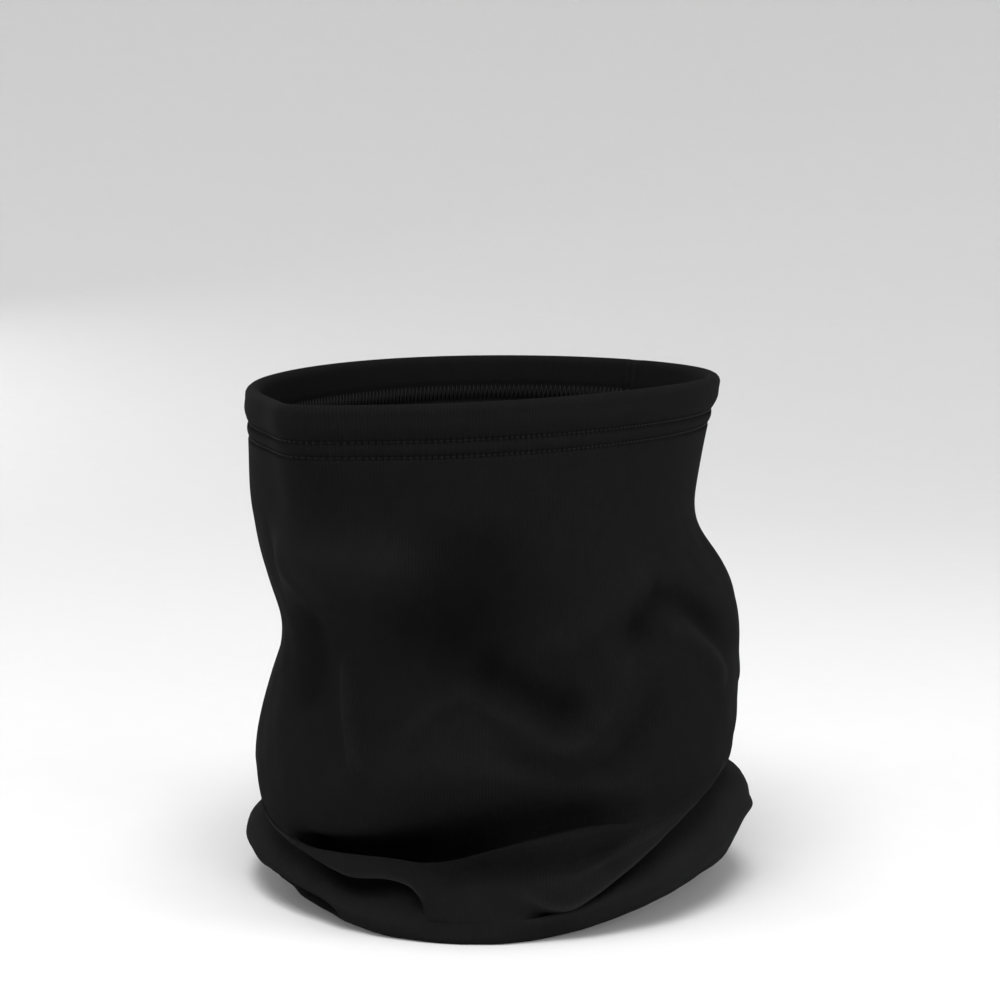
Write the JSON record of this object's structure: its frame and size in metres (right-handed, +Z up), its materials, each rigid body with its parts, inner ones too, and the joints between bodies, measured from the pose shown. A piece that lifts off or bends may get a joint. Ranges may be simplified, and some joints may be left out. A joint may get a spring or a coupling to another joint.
{
  "type": "neck gaiter",
  "caption": "Fleece-backed knit neck gaiter as worn, with a coverstitched top band that pulls down, slack folded over a turned-under bottom end and a blank label.",
  "frame": {"origin": "middle of the object's box in plan, on the surface that the turned-under bottom end rests on", "axes": "+Z up along the neck, -Y towards the front of the face, +X towards the wearer's left cheek"},
  "size_m": [0.1885, 0.207, 0.1957],
  "materials": {
    "black_knit": "smooth fine-ribbed knit with a soft sheen",
    "black_fleece": "brushed fleece pile",
    "black_thread": "matte polyester sewing thread",
    "label_ribbon": "blank satin ribbon"
  },
  "bodies": {
    "tube": {"lower_tube_knit": "black_knit", "lower_tube_fleece": "black_fleece", "turned_under_knit": "black_knit", "turned_under_fleece": "black_fleece", "lower_back_seam": "black_fleece", "lower_overlock_thread": "black_thread", "bottom_hem_knit": "black_knit", "bottom_hem_fleece": "black_fleece", "bottom_needle_thread_1": "black_thread", "bottom_needle_thread_2": "black_thread", "bottom_looper_thread": "black_thread", "upper_tube_knit": "black_knit", "upper_tube_fleece": "black_fleece", "upper_back_seam": "black_fleece", "upper_overlock_thread": "black_thread"},
    "top_band": {"top_hem_knit": "black_knit", "top_hem_fleece": "black_fleece", "top_needle_thread_1": "black_thread", "top_needle_thread_2": "black_thread", "top_looper_thread": "black_thread"},
    "label": {"care_label": "label_ribbon"}
  },
  "joints": [
    {"name": "band_pull_down", "type": "slide", "parent": "tube", "child": "top_band", "axis": [0, 0, -1], "range_m": [0, 0.05], "deforming": ["upper_tube_knit", "upper_tube_fleece", "upper_back_seam", "upper_overlock_thread"]},
    {"name": "label_flip", "type": "hinge", "parent": "tube", "child": "label", "pos_m": [0.00239, 0.09221, 0.076], "axis": [0, 0, -1], "range_deg": [0, 150]}
  ]
}
